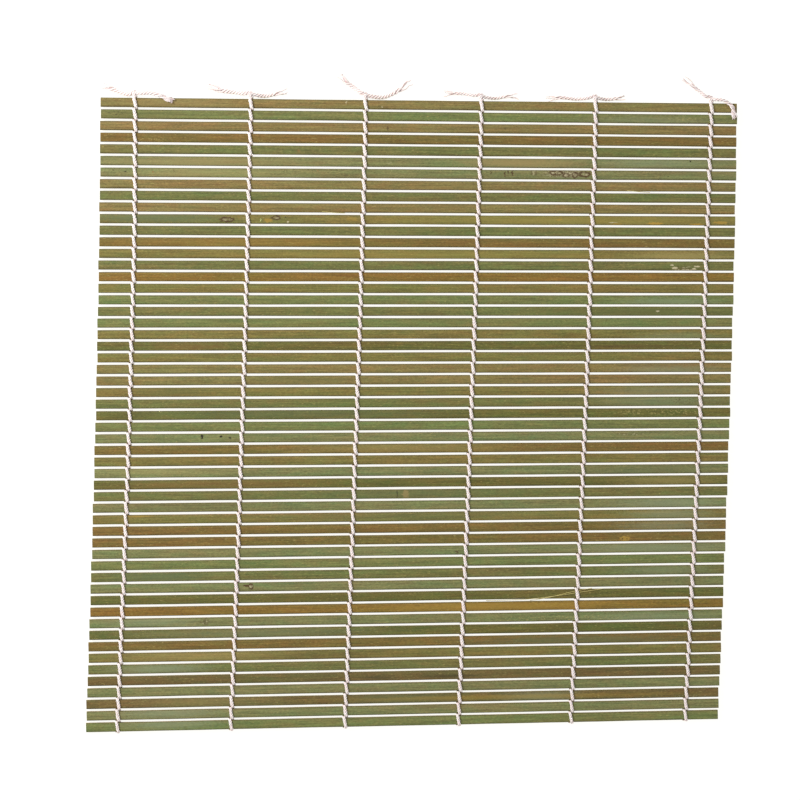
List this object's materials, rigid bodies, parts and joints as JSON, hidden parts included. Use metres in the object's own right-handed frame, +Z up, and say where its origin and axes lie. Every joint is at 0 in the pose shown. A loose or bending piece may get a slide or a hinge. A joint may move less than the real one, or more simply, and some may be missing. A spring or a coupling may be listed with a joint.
{
  "type": "sushi rolling mat",
  "caption": "Square mat of flat bamboo slats twined side by side with cotton strings, which lies flat and rolls up towards its green skin side.",
  "frame": {"origin": "on the table, under the middle of the mat's outline with its loose string ends", "axes": "+X along the slats, to the picture's right; +Y across them, towards the edge where the strings are knotted; +Z up, out of the slats' green skin side"},
  "size_m": [0.2464, 0.25, 0.0034],
  "materials": {
    "bamboo_leaf": "satin",
    "bamboo_sage": "satin",
    "bamboo_moss": "satin",
    "bamboo_dark_moss": "satin",
    "bamboo_olive": "satin",
    "bamboo_tan": "satin",
    "bamboo_brown": "satin",
    "bamboo_umber": "satin",
    "bamboo_amber": "satin",
    "cotton_yarn": "matte"
  },
  "bodies": {
    "slat_01": {"slat_01": "bamboo_tan"},
    "slat_02": {"slat_02": "bamboo_leaf"},
    "slat_03": {"slat_03": "bamboo_tan"},
    "slat_04": {"slat_04": "bamboo_brown"},
    "slat_05": {"slat_05": "bamboo_moss"},
    "slat_06": {"slat_06": "bamboo_sage"},
    "slat_07": {"slat_07": "bamboo_sage"},
    "slat_08": {"slat_08": "bamboo_tan"},
    "slat_09": {"slat_09": "bamboo_moss"},
    "slat_10": {"slat_10": "bamboo_tan"},
    "slat_11": {"slat_11": "bamboo_olive"},
    "slat_12": {"slat_12": "bamboo_moss"},
    "slat_13": {"slat_13": "bamboo_brown"},
    "slat_14": {"slat_14": "bamboo_olive"},
    "slat_15": {"slat_15": "bamboo_moss"},
    "slat_16": {"slat_16": "bamboo_amber"},
    "slat_17": {"slat_17": "bamboo_olive"},
    "slat_18": {"slat_18": "bamboo_leaf"},
    "slat_19": {"slat_19": "bamboo_moss"},
    "slat_20": {"slat_20": "bamboo_leaf"},
    "slat_21": {"slat_21": "bamboo_olive"},
    "slat_22": {"slat_22": "bamboo_dark_moss"},
    "slat_23": {"slat_23": "bamboo_olive"},
    "slat_24": {"slat_24": "bamboo_tan"},
    "slat_25": {"slat_25": "bamboo_tan"},
    "slat_26": {"slat_26": "bamboo_olive"},
    "slat_27": {"slat_27": "bamboo_moss"},
    "slat_28": {"slat_28": "bamboo_dark_moss", "left_outer_string": "cotton_yarn", "left_inner_string": "cotton_yarn", "middle_strings": "cotton_yarn", "right_inner_string": "cotton_yarn", "right_outer_string": "cotton_yarn"},
    "slat_29": {"slat_29": "bamboo_leaf"},
    "slat_30": {"slat_30": "bamboo_sage"},
    "slat_31": {"slat_31": "bamboo_brown"},
    "slat_32": {"slat_32": "bamboo_olive"},
    "slat_33": {"slat_33": "bamboo_sage"},
    "slat_34": {"slat_34": "bamboo_dark_moss"},
    "slat_35": {"slat_35": "bamboo_moss"},
    "slat_36": {"slat_36": "bamboo_sage"},
    "slat_37": {"slat_37": "bamboo_olive"},
    "slat_38": {"slat_38": "bamboo_brown"},
    "slat_39": {"slat_39": "bamboo_brown"},
    "slat_40": {"slat_40": "bamboo_sage"},
    "slat_41": {"slat_41": "bamboo_leaf"},
    "slat_42": {"slat_42": "bamboo_moss"},
    "slat_43": {"slat_43": "bamboo_sage"},
    "slat_44": {"slat_44": "bamboo_dark_moss"},
    "slat_45": {"slat_45": "bamboo_amber"},
    "slat_46": {"slat_46": "bamboo_sage"},
    "slat_47": {"slat_47": "bamboo_dark_moss"},
    "slat_48": {"slat_48": "bamboo_brown"},
    "slat_49": {"slat_49": "bamboo_olive"},
    "slat_50": {"slat_50": "bamboo_moss"},
    "slat_51": {"slat_51": "bamboo_umber"},
    "slat_52": {"slat_52": "bamboo_sage"},
    "slat_53": {"slat_53": "bamboo_umber"},
    "slat_54": {"slat_54": "bamboo_sage"},
    "slat_55": {"slat_55": "bamboo_leaf"}
  },
  "joints": [
    {"name": "fold_01_02", "type": "hinge", "parent": "slat_01", "child": "slat_02", "pos_m": [0, 0.11087, 0.00135], "axis": [-1, 0.0093, 0], "range_deg": [0, 14.1], "deforming": ["left_outer_string", "left_inner_string", "middle_strings", "right_inner_string", "right_outer_string"]},
    {"name": "fold_02_03", "type": "hinge", "parent": "slat_02", "child": "slat_03", "pos_m": [0, 0.10655, 0.00135], "axis": [-1, 0.0088, 0], "range_deg": [0, 14.2], "deforming": ["left_outer_string", "left_inner_string", "middle_strings", "right_inner_string", "right_outer_string"]},
    {"name": "fold_03_04", "type": "hinge", "parent": "slat_03", "child": "slat_04", "pos_m": [0, 0.10224, 0.00135], "axis": [-1, 0.0082, 0], "range_deg": [0, 14.3], "deforming": ["left_outer_string", "left_inner_string", "middle_strings", "right_inner_string", "right_outer_string"]},
    {"name": "fold_04_05", "type": "hinge", "parent": "slat_04", "child": "slat_05", "pos_m": [0, 0.09792, 0.00135], "axis": [-1, 0.0076, 0], "range_deg": [0, 14.5], "deforming": ["left_outer_string", "left_inner_string", "middle_strings", "right_inner_string", "right_outer_string"]},
    {"name": "fold_05_06", "type": "hinge", "parent": "slat_05", "child": "slat_06", "pos_m": [0, 0.0936, 0.00135], "axis": [-1, 0.0071, 0], "range_deg": [0, 14.6], "deforming": ["left_outer_string", "left_inner_string", "middle_strings", "right_inner_string", "right_outer_string"]},
    {"name": "fold_06_07", "type": "hinge", "parent": "slat_06", "child": "slat_07", "pos_m": [0, 0.08928, 0.00135], "axis": [-1, 0.0065, 0], "range_deg": [0, 14.7], "deforming": ["left_outer_string", "left_inner_string", "middle_strings", "right_inner_string", "right_outer_string"]},
    {"name": "fold_07_08", "type": "hinge", "parent": "slat_07", "child": "slat_08", "pos_m": [0, 0.08497, 0.00135], "axis": [-1, 0.0059, 0], "range_deg": [0, 14.8], "deforming": ["left_outer_string", "left_inner_string", "middle_strings", "right_inner_string", "right_outer_string"]},
    {"name": "fold_08_09", "type": "hinge", "parent": "slat_08", "child": "slat_09", "pos_m": [0, 0.08065, 0.00135], "axis": [-1, 0.0054, 0], "range_deg": [0, 14.9], "deforming": ["left_outer_string", "left_inner_string", "middle_strings", "right_inner_string", "right_outer_string"]},
    {"name": "fold_09_10", "type": "hinge", "parent": "slat_09", "child": "slat_10", "pos_m": [0, 0.07633, 0.00135], "axis": [-1, 0.0048, 0], "range_deg": [0, 15], "deforming": ["left_outer_string", "left_inner_string", "middle_strings", "right_inner_string", "right_outer_string"]},
    {"name": "fold_10_11", "type": "hinge", "parent": "slat_10", "child": "slat_11", "pos_m": [0, 0.07201, 0.00135], "axis": [-1, 0.0042, 0], "range_deg": [0, 15.2], "deforming": ["left_outer_string", "left_inner_string", "middle_strings", "right_inner_string", "right_outer_string"]},
    {"name": "fold_11_12", "type": "hinge", "parent": "slat_11", "child": "slat_12", "pos_m": [0, 0.06769, 0.00135], "axis": [-1, 0.0037, 0], "range_deg": [0, 15.3], "deforming": ["left_outer_string", "left_inner_string", "middle_strings", "right_inner_string", "right_outer_string"]},
    {"name": "fold_12_13", "type": "hinge", "parent": "slat_12", "child": "slat_13", "pos_m": [0, 0.06338, 0.00135], "axis": [-1, 0.0031, 0], "range_deg": [0, 15.4], "deforming": ["left_outer_string", "left_inner_string", "middle_strings", "right_inner_string", "right_outer_string"]},
    {"name": "fold_13_14", "type": "hinge", "parent": "slat_13", "child": "slat_14", "pos_m": [0, 0.05906, 0.00135], "axis": [-1, 0.0025, 0], "range_deg": [0, 15.6], "deforming": ["left_outer_string", "left_inner_string", "middle_strings", "right_inner_string", "right_outer_string"]},
    {"name": "fold_14_15", "type": "hinge", "parent": "slat_14", "child": "slat_15", "pos_m": [0, 0.05474, 0.00135], "axis": [-1, 0.002, 0], "range_deg": [0, 15.7], "deforming": ["left_outer_string", "left_inner_string", "middle_strings", "right_inner_string", "right_outer_string"]},
    {"name": "fold_15_16", "type": "hinge", "parent": "slat_15", "child": "slat_16", "pos_m": [0, 0.05042, 0.00135], "axis": [-1, 0.0014, 0], "range_deg": [0, 15.9], "deforming": ["left_outer_string", "left_inner_string", "middle_strings", "right_inner_string", "right_outer_string"]},
    {"name": "fold_16_17", "type": "hinge", "parent": "slat_16", "child": "slat_17", "pos_m": [0, 0.04611, 0.00135], "axis": [-1, 0.0008, 0], "range_deg": [0, 16], "deforming": ["left_outer_string", "left_inner_string", "middle_strings", "right_inner_string", "right_outer_string"]},
    {"name": "fold_17_18", "type": "hinge", "parent": "slat_17", "child": "slat_18", "pos_m": [0, 0.04179, 0.00135], "axis": [-1, 0.0003, 0], "range_deg": [0, 16.2], "deforming": ["left_outer_string", "left_inner_string", "middle_strings", "right_inner_string", "right_outer_string"]},
    {"name": "fold_18_19", "type": "hinge", "parent": "slat_18", "child": "slat_19", "pos_m": [0, 0.03747, 0.00135], "axis": [-1, -0.0003, 0], "range_deg": [0, 16.3], "deforming": ["left_outer_string", "left_inner_string", "middle_strings", "right_inner_string", "right_outer_string"]},
    {"name": "fold_19_20", "type": "hinge", "parent": "slat_19", "child": "slat_20", "pos_m": [0, 0.03315, 0.00135], "axis": [-1, -0.0009, 0], "range_deg": [0, 16.5], "deforming": ["left_outer_string", "left_inner_string", "middle_strings", "right_inner_string", "right_outer_string"]},
    {"name": "fold_20_21", "type": "hinge", "parent": "slat_20", "child": "slat_21", "pos_m": [0, 0.02883, 0.00135], "axis": [-1, -0.0014, 0], "range_deg": [0, 16.7], "deforming": ["left_outer_string", "left_inner_string", "middle_strings", "right_inner_string", "right_outer_string"]},
    {"name": "fold_21_22", "type": "hinge", "parent": "slat_21", "child": "slat_22", "pos_m": [0, 0.02451, 0.00135], "axis": [-1, -0.002, 0], "range_deg": [0, 16.8], "deforming": ["left_outer_string", "left_inner_string", "middle_strings", "right_inner_string", "right_outer_string"]},
    {"name": "fold_22_23", "type": "hinge", "parent": "slat_22", "child": "slat_23", "pos_m": [0, 0.0202, 0.00135], "axis": [-1, -0.0026, 0], "range_deg": [0, 17], "deforming": ["left_outer_string", "left_inner_string", "middle_strings", "right_inner_string", "right_outer_string"]},
    {"name": "fold_23_24", "type": "hinge", "parent": "slat_23", "child": "slat_24", "pos_m": [0, 0.01588, 0.00135], "axis": [-1, -0.0031, 0], "range_deg": [0, 17.2], "deforming": ["left_outer_string", "left_inner_string", "middle_strings", "right_inner_string", "right_outer_string"]},
    {"name": "fold_24_25", "type": "hinge", "parent": "slat_24", "child": "slat_25", "pos_m": [0, 0.01156, 0.00135], "axis": [-1, -0.0037, 0], "range_deg": [0, 17.4], "deforming": ["left_outer_string", "left_inner_string", "middle_strings", "right_inner_string", "right_outer_string"]},
    {"name": "fold_25_26", "type": "hinge", "parent": "slat_25", "child": "slat_26", "pos_m": [0, 0.00724, 0.00135], "axis": [-1, -0.0043, 0], "range_deg": [0, 17.6], "deforming": ["left_outer_string", "left_inner_string", "middle_strings", "right_inner_string", "right_outer_string"]},
    {"name": "fold_26_27", "type": "hinge", "parent": "slat_26", "child": "slat_27", "pos_m": [0, 0.00293, 0.00135], "axis": [-1, -0.0048, 0], "range_deg": [0, 17.8], "deforming": ["left_outer_string", "left_inner_string", "middle_strings", "right_inner_string", "right_outer_string"]},
    {"name": "fold_27_28", "type": "hinge", "parent": "slat_27", "child": "slat_28", "pos_m": [0, -0.00139, 0.00135], "axis": [-1, -0.0054, 0], "range_deg": [0, 18], "deforming": ["left_outer_string", "left_inner_string", "middle_strings", "right_inner_string", "right_outer_string"]},
    {"name": "fold_28_29", "type": "hinge", "parent": "slat_28", "child": "slat_29", "pos_m": [0, -0.00571, 0.00135], "axis": [-1, -0.006, 0], "range_deg": [0, 18.2], "deforming": ["left_outer_string", "left_inner_string", "middle_strings", "right_inner_string", "right_outer_string"]},
    {"name": "fold_29_30", "type": "hinge", "parent": "slat_29", "child": "slat_30", "pos_m": [0, -0.01003, 0.00135], "axis": [-1, -0.0065, 0], "range_deg": [0, 18.5], "deforming": ["left_outer_string", "left_inner_string", "middle_strings", "right_inner_string", "right_outer_string"]},
    {"name": "fold_30_31", "type": "hinge", "parent": "slat_30", "child": "slat_31", "pos_m": [0, -0.01435, 0.00135], "axis": [-1, -0.0071, 0], "range_deg": [0, 18.7], "deforming": ["left_outer_string", "left_inner_string", "middle_strings", "right_inner_string", "right_outer_string"]},
    {"name": "fold_31_32", "type": "hinge", "parent": "slat_31", "child": "slat_32", "pos_m": [0, -0.01866, 0.00135], "axis": [-1, -0.0077, 0], "range_deg": [0, 18.9], "deforming": ["left_outer_string", "left_inner_string", "middle_strings", "right_inner_string", "right_outer_string"]},
    {"name": "fold_32_33", "type": "hinge", "parent": "slat_32", "child": "slat_33", "pos_m": [0, -0.02298, 0.00135], "axis": [-1, -0.0082, 0], "range_deg": [0, 19.2], "deforming": ["left_outer_string", "left_inner_string", "middle_strings", "right_inner_string", "right_outer_string"]},
    {"name": "fold_33_34", "type": "hinge", "parent": "slat_33", "child": "slat_34", "pos_m": [0, -0.0273, 0.00135], "axis": [-1, -0.0088, 0], "range_deg": [0, 19.5], "deforming": ["left_outer_string", "left_inner_string", "middle_strings", "right_inner_string", "right_outer_string"]},
    {"name": "fold_34_35", "type": "hinge", "parent": "slat_34", "child": "slat_35", "pos_m": [0, -0.03162, 0.00135], "axis": [-1, -0.0094, 0], "range_deg": [0, 19.7], "deforming": ["left_outer_string", "left_inner_string", "middle_strings", "right_inner_string", "right_outer_string"]},
    {"name": "fold_35_36", "type": "hinge", "parent": "slat_35", "child": "slat_36", "pos_m": [0, -0.03594, 0.00135], "axis": [-1, -0.0099, 0], "range_deg": [0, 20], "deforming": ["left_outer_string", "left_inner_string", "middle_strings", "right_inner_string", "right_outer_string"]},
    {"name": "fold_36_37", "type": "hinge", "parent": "slat_36", "child": "slat_37", "pos_m": [0, -0.04025, 0.00135], "axis": [-0.9999, -0.0105, 0], "range_deg": [0, 20.3], "deforming": ["left_outer_string", "left_inner_string", "middle_strings", "right_inner_string", "right_outer_string"]},
    {"name": "fold_37_38", "type": "hinge", "parent": "slat_37", "child": "slat_38", "pos_m": [0, -0.04457, 0.00135], "axis": [-0.9999, -0.011, 0], "range_deg": [0, 20.7], "deforming": ["left_outer_string", "left_inner_string", "middle_strings", "right_inner_string", "right_outer_string"]},
    {"name": "fold_38_39", "type": "hinge", "parent": "slat_38", "child": "slat_39", "pos_m": [0, -0.04889, 0.00135], "axis": [-0.9999, -0.0116, 0], "range_deg": [0, 21], "deforming": ["left_outer_string", "left_inner_string", "middle_strings", "right_inner_string", "right_outer_string"]},
    {"name": "fold_39_40", "type": "hinge", "parent": "slat_39", "child": "slat_40", "pos_m": [0, -0.05321, 0.00135], "axis": [-0.9999, -0.0122, 0], "range_deg": [0, 21.3], "deforming": ["left_outer_string", "left_inner_string", "middle_strings", "right_inner_string", "right_outer_string"]},
    {"name": "fold_40_41", "type": "hinge", "parent": "slat_40", "child": "slat_41", "pos_m": [0, -0.05752, 0.00135], "axis": [-0.9999, -0.0127, 0], "range_deg": [0, 21.7], "deforming": ["left_outer_string", "left_inner_string", "middle_strings", "right_inner_string", "right_outer_string"]},
    {"name": "fold_41_42", "type": "hinge", "parent": "slat_41", "child": "slat_42", "pos_m": [0, -0.06184, 0.00135], "axis": [-0.9999, -0.0133, 0], "range_deg": [0, 22.1], "deforming": ["left_outer_string", "left_inner_string", "middle_strings", "right_inner_string", "right_outer_string"]},
    {"name": "fold_42_43", "type": "hinge", "parent": "slat_42", "child": "slat_43", "pos_m": [0, -0.06616, 0.00135], "axis": [-0.9999, -0.0139, 0], "range_deg": [0, 22.5], "deforming": ["left_outer_string", "left_inner_string", "middle_strings", "right_inner_string", "right_outer_string"]},
    {"name": "fold_43_44", "type": "hinge", "parent": "slat_43", "child": "slat_44", "pos_m": [0, -0.07048, 0.00135], "axis": [-0.9999, -0.0144, 0], "range_deg": [0, 23], "deforming": ["left_outer_string", "left_inner_string", "middle_strings", "right_inner_string", "right_outer_string"]},
    {"name": "fold_44_45", "type": "hinge", "parent": "slat_44", "child": "slat_45", "pos_m": [0, -0.0748, 0.00135], "axis": [-0.9999, -0.015, 0], "range_deg": [0, 23.4], "deforming": ["left_outer_string", "left_inner_string", "middle_strings", "right_inner_string", "right_outer_string"]},
    {"name": "fold_45_46", "type": "hinge", "parent": "slat_45", "child": "slat_46", "pos_m": [0, -0.07911, 0.00135], "axis": [-0.9999, -0.0156, 0], "range_deg": [0, 23.9], "deforming": ["left_outer_string", "left_inner_string", "middle_strings", "right_inner_string", "right_outer_string"]},
    {"name": "fold_46_47", "type": "hinge", "parent": "slat_46", "child": "slat_47", "pos_m": [0, -0.08343, 0.00135], "axis": [-0.9999, -0.0161, 0], "range_deg": [0, 24.4], "deforming": ["left_outer_string", "left_inner_string", "middle_strings", "right_inner_string", "right_outer_string"]},
    {"name": "fold_47_48", "type": "hinge", "parent": "slat_47", "child": "slat_48", "pos_m": [0, -0.08775, 0.00135], "axis": [-0.9999, -0.0167, 0], "range_deg": [0, 25], "deforming": ["left_outer_string", "left_inner_string", "middle_strings", "right_inner_string", "right_outer_string"]},
    {"name": "fold_48_49", "type": "hinge", "parent": "slat_48", "child": "slat_49", "pos_m": [0, -0.09207, 0.00135], "axis": [-0.9999, -0.0173, 0], "range_deg": [0, 25.6], "deforming": ["left_outer_string", "left_inner_string", "middle_strings", "right_inner_string", "right_outer_string"]},
    {"name": "fold_49_50", "type": "hinge", "parent": "slat_49", "child": "slat_50", "pos_m": [0, -0.09638, 0.00135], "axis": [-0.9998, -0.0178, 0], "range_deg": [0, 26.2], "deforming": ["left_outer_string", "left_inner_string", "middle_strings", "right_inner_string", "right_outer_string"]},
    {"name": "fold_50_51", "type": "hinge", "parent": "slat_50", "child": "slat_51", "pos_m": [0, -0.1007, 0.00135], "axis": [-0.9998, -0.0184, 0], "range_deg": [0, 26.9], "deforming": ["left_outer_string", "left_inner_string", "middle_strings", "right_inner_string", "right_outer_string"]},
    {"name": "fold_51_52", "type": "hinge", "parent": "slat_51", "child": "slat_52", "pos_m": [0, -0.10502, 0.00135], "axis": [-0.9998, -0.019, 0], "range_deg": [0, 27.7], "deforming": ["left_outer_string", "left_inner_string", "middle_strings", "right_inner_string", "right_outer_string"]},
    {"name": "fold_52_53", "type": "hinge", "parent": "slat_52", "child": "slat_53", "pos_m": [0, -0.10934, 0.00135], "axis": [-0.9998, -0.0195, 0], "range_deg": [0, 28.5], "deforming": ["left_outer_string", "left_inner_string", "middle_strings", "right_inner_string", "right_outer_string"]},
    {"name": "fold_53_54", "type": "hinge", "parent": "slat_53", "child": "slat_54", "pos_m": [0, -0.11366, 0.00135], "axis": [-0.9998, -0.0201, 0], "range_deg": [0, 29.4], "deforming": ["left_outer_string", "left_inner_string", "middle_strings", "right_inner_string", "right_outer_string"]},
    {"name": "fold_54_55", "type": "hinge", "parent": "slat_54", "child": "slat_55", "pos_m": [0, -0.11797, 0.00135], "axis": [-0.9998, -0.0207, 0], "range_deg": [0, 30.4], "deforming": ["left_outer_string", "left_inner_string", "middle_strings", "right_inner_string", "right_outer_string"]}
  ]
}
